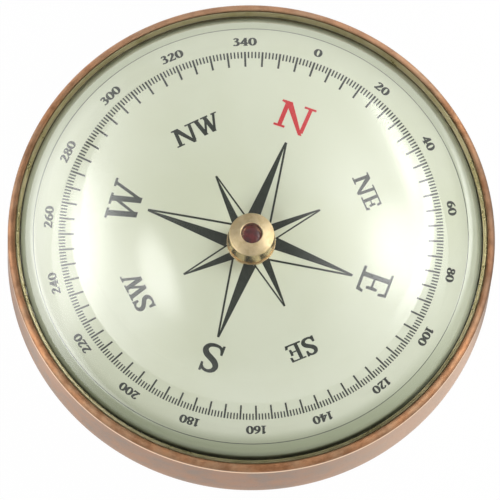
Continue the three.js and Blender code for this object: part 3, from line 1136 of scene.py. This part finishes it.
def reach_along(tree, direction, axis):
    """How far a direction reaches along a fixed axis."""
    inputs = {0: direction, 1: tuple(axis)}
    return put(tree, "ShaderNodeVectorMath", inputs, operation="DOT_PRODUCT").outputs["Value"]


def glow(tree, direction, azimuth, elevation, wide, tall, core):
    """1 in the middle of a soft patch of sky and 0 outside it, angles in degrees."""
    rise = Matrix.Rotation(math.radians(elevation), 3, "Y")
    turn = rise @ Matrix.Rotation(math.radians(-azimuth), 3, "Z")
    squares = []
    for axis, half in ((turn[1], wide), (turn[2], tall)):
        part = calc(tree, "DIVIDE", reach_along(tree, direction, axis), math.sin(math.radians(half)))
        squares.append(calc(tree, "POWER", calc(tree, "ABSOLUTE", part), 2.0))
    distance = calc(tree, "SQRT", calc(tree, "ADD", *squares))
    patch = between(tree, distance, core, 1.0, 1, 0)
    ahead = reach_along(tree, direction, turn[0])
    return calc(tree, "MULTIPLY", patch, calc(tree, "GREATER_THAN", ahead, 0.0))


def make_world():
    """A white studio, darker overhead, with soft windows that only the gloss and glass show."""
    world = bpy.data.worlds.new("studio")
    world.use_nodes = True
    bpy.context.scene.world = world
    tree = world.node_tree
    direction = put(tree, "ShaderNodeTexCoord").outputs["Generated"]
    windows = 0.0
    for *patch, strength in WINDOWS.values():
        windows = calc(tree, "MULTIPLY_ADD", glow(tree, direction, *patch), strength, windows)
    shown, rays = seen(tree)
    height = put(tree, "ShaderNodeSeparateXYZ", {0: direction}).outputs[2]
    overhead = between(tree, height, SHADE_START, SHADE_FULL, 1.0, ZENITH_SHADE)
    backdrop = calc(tree, "MAXIMUM", overhead, rays.outputs["Is Camera Ray"])
    not_camera = calc(tree, "SUBTRACT", 1.0, rays.outputs["Is Camera Ray"])
    studio = calc(tree, "ADD", backdrop, calc(tree, "MULTIPLY", windows, not_camera))
    unseen = calc(tree, "MULTIPLY", calc(tree, "SUBTRACT", 1.0, shown), FILL_LIGHT)
    strength = calc(tree, "ADD", calc(tree, "MULTIPLY", studio, shown), unseen)
    tree.links.new(strength, tree.nodes["Background"].inputs["Strength"])
    tree.nodes["Background"].inputs["Color"].default_value = (1, 1, 1, 1)


def make_lamp(name, azimuth, elevation, distance, size, power):
    """A soft square lamp aimed at the compass, unseen in reflections."""
    lamp = bpy.data.lights.new(name, "AREA")
    lamp.size = size
    lamp.energy = power
    holder = bpy.data.objects.new(name, lamp)
    flat = math.cos(math.radians(elevation)) * distance
    spot = Vector((
        flat * math.cos(math.radians(azimuth)),
        flat * math.sin(math.radians(azimuth)),
        math.sin(math.radians(elevation)) * distance,
    ))
    holder.location = spot
    holder.rotation_euler = spot.to_track_quat("Z", "Y").to_euler()
    holder.visible_camera = False
    holder.visible_glossy = False
    holder.visible_transmission = False
    bpy.context.scene.collection.objects.link(holder)


def make_camera():
    """The camera that took the photograph, aimed so that the compass lies in the frame as there."""
    data = bpy.data.cameras.new("camera")
    data.sensor_width = SENSOR
    data.lens = FOCAL_PIXELS * SENSOR / PIXELS
    data.clip_start = CLIP_NEAR
    data.clip_end = CLIP_FAR
    camera = bpy.data.objects.new("camera", data)
    bpy.context.scene.collection.objects.link(camera)
    bpy.context.scene.camera = camera
    sine = math.sin(CAMERA_TILT)
    cosine = math.cos(CAMERA_TILT)
    ahead = Vector((0, sine, -cosine))
    right = Vector((1, 0, 0))
    up = right.cross(ahead)
    side = right * math.cos(CAMERA_ROLL) - up * math.sin(CAMERA_ROLL)
    top = right * math.sin(CAMERA_ROLL) + up * math.cos(CAMERA_ROLL)
    middle = PIXELS / 2
    ahead = ahead * FOCAL_PIXELS + side * (middle - TARGET_PIXEL[0]) + top * (TARGET_PIXEL[1] - middle)
    ahead.normalize()
    side = (side - ahead * side.dot(ahead)).normalized()
    top = side.cross(ahead)
    turn = Matrix((side, top, -ahead)).transposed().to_4x4()
    spot = Vector((0, -CAMERA_DISTANCE * sine, CAMERA_TARGET_HEIGHT + CAMERA_DISTANCE * cosine)) * MM
    camera.matrix_world = Matrix.Translation(spot) @ turn


make_camera()
make_case()
make_felt()
make_spacer()
make_gasket()
make_glass()
make_retaining_ring()
make_card()
make_washer()
make_hub()
make_jewel()
make_print()
dress_inner_nodes()
make_floor()
make_world()
for lamp_name, lamp_sizes in LAMPS.items():
    make_lamp(lamp_name, *lamp_sizes)

bpy.context.scene.view_settings.view_transform = "Standard"
